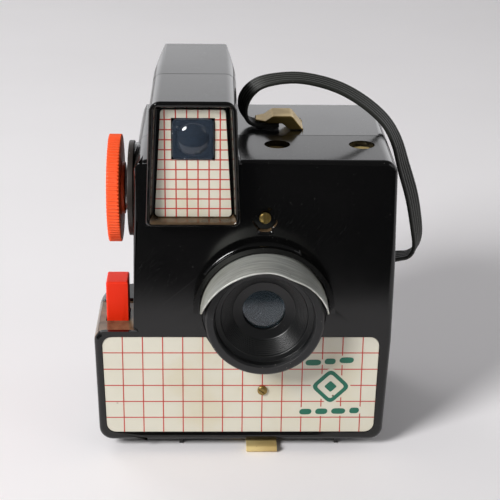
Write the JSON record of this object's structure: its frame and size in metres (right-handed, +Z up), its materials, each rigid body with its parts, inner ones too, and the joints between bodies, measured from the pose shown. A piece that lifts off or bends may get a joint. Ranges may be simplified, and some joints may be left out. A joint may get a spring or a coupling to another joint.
{
  "type": "box camera",
  "caption": "Box roll-film camera with a finder tower, hooded fixed lens, ribbed wind knob, press-down release button and a carrying strap from roof to side",
  "frame": {"origin": "On the surface the camera stands on, under the middle of its bounding box", "axes": "+Z up, the lens looks along -Y, +X is to the right of someone who looks at the camera's front"},
  "size_m": [0.1047, 0.0826, 0.1152],
  "materials": {
    "black_moulding": "glossy black moulded shell with a little dust and fine scratches",
    "cream_plate": "cream enamel with thin red lines",
    "clear_finder": "clear moulded finder lens",
    "barrel_black": "dark satin ring with a ribbed throat",
    "visor_sheet": "bright formed sheet, slightly mottled",
    "lens_glass": "ground glass",
    "bright_steel": "plated steel",
    "dark_steel": "blackened steel",
    "spring_steel": "spring wire and leaf",
    "brass": "aged brass",
    "button_red": "red moulded button, browned on top",
    "knob_red": "red moulded knob with fine ribs",
    "knob_ring": "dark brown-black ring",
    "inner_black": "matte black inner moulding",
    "window_red": "dark red window",
    "strap_black": "black ribbed strap",
    "base_black": "black enamelled sheet"
  },
  "bodies": {
    "camera_body": {"front_shell": "black_moulding", "lower_face_plate": "cream_plate", "finder_face_plate": "cream_plate", "finder_front_lens": "clear_finder", "lens_barrel": "barrel_black", "lens_brow": "visor_sheet", "meniscus_lens": "lens_glass", "lens_retainer": "bright_steel", "aperture_plate": "dark_steel", "shutter_base_plate": "bright_steel", "shutter_pivots": "brass", "shutter_spring": "spring_steel", "release_spring": "spring_steel", "film_carrier": "inner_black", "spool_pivots": "bright_steel", "knob_base": "knob_ring", "clutch_spring": "spring_steel", "flash_sockets": "brass", "flash_strips": "brass", "face_screws": "brass", "base_plate": "base_black", "base_screws": "bright_steel", "latch_rivets": "bright_steel"},
    "back": {"rear_cover": "black_moulding", "finder_eye_lens": "clear_finder", "red_window": "window_red", "pressure_springs": "spring_steel", "strap": "strap_black", "strap_clip": "brass", "strap_anchor": "brass", "strap_rivet": "brass"},
    "pressure": {"pressure_plate": "dark_steel"},
    "release": {"release_button": "button_red", "release_rod": "bright_steel"},
    "lever": {"trip_lever": "bright_steel"},
    "blade": {"shutter_blade": "dark_steel"},
    "knob_carrier": {"knob_washer": "bright_steel"},
    "winder": {"wind_knob": "knob_red", "wind_shaft": "bright_steel"},
    "take_up": {"take_up_spool": "dark_steel"},
    "supply": {"supply_spool": "dark_steel"},
    "roller_upper": {"film_roller_upper": "bright_steel"},
    "roller_lower": {"film_roller_lower": "bright_steel"},
    "latch": {"bottom_latch": "brass"}
  },
  "joints": [
    {"name": "cover_off", "type": "slide", "parent": "camera_body", "child": "back", "axis": [0, 1, 0], "range_m": [0, 0.07]},
    {"name": "pressure_give", "type": "slide", "parent": "back", "child": "pressure", "axis": [0, 1, 0], "range_m": [0, 0.001], "stiffness_N_per_m": 400, "deforming": ["pressure_springs"]},
    {"name": "release_press", "type": "slide", "parent": "camera_body", "child": "release", "axis": [0, 0, -1], "range_m": [0, 0.005], "stiffness_N_per_m": 300, "springref_m": -0.002, "deforming": ["release_spring"]},
    {"name": "lever_turn", "type": "hinge", "parent": "camera_body", "child": "lever", "pos_m": [-0.02764, -0.01805, 0.039], "axis": [0, -1, 0], "range_deg": [0, 16.8]},
    {"name": "blade_turn", "type": "hinge", "parent": "camera_body", "child": "blade", "pos_m": [-0.01414, -0.01727, 0.061], "axis": [0, -1, 0], "range_deg": [0, 45.2]},
    {"name": "knob_out", "type": "slide", "parent": "camera_body", "child": "knob_carrier", "axis": [-1, 0, 0], "range_m": [0, 0.0045]},
    {"name": "wind", "type": "hinge", "parent": "knob_carrier", "child": "winder", "pos_m": [-0.03864, -0.00285, 0.0804], "axis": [1, 0, 0], "continuous": true},
    {"name": "take_up_turn", "type": "hinge", "parent": "camera_body", "child": "take_up", "pos_m": [-0.00064, -0.00285, 0.0804], "axis": [1, 0, 0], "continuous": true},
    {"name": "supply_turn", "type": "hinge", "parent": "camera_body", "child": "supply", "pos_m": [-0.00064, -0.00285, 0.0184], "axis": [1, 0, 0], "continuous": true},
    {"name": "roller_upper_turn", "type": "hinge", "parent": "camera_body", "child": "roller_upper", "pos_m": [-0.00064, 0.03235, 0.0826], "axis": [1, 0, 0], "continuous": true},
    {"name": "roller_lower_turn", "type": "hinge", "parent": "camera_body", "child": "roller_lower", "pos_m": [-0.00064, 0.03235, 0.0162], "axis": [1, 0, 0], "continuous": true},
    {"name": "latch_slide", "type": "slide", "parent": "camera_body", "child": "latch", "axis": [1, 0, 0], "range_m": [0, 0.006]}
  ],
  "couplings": [
    {"joint": "lever_turn", "follows": "release_press", "rad_per_m": 58},
    {"joint": "blade_turn", "follows": "release_press", "rad_per_m": 157},
    {"joint": "take_up_turn", "follows": "wind", "ratio": 1}
  ]
}
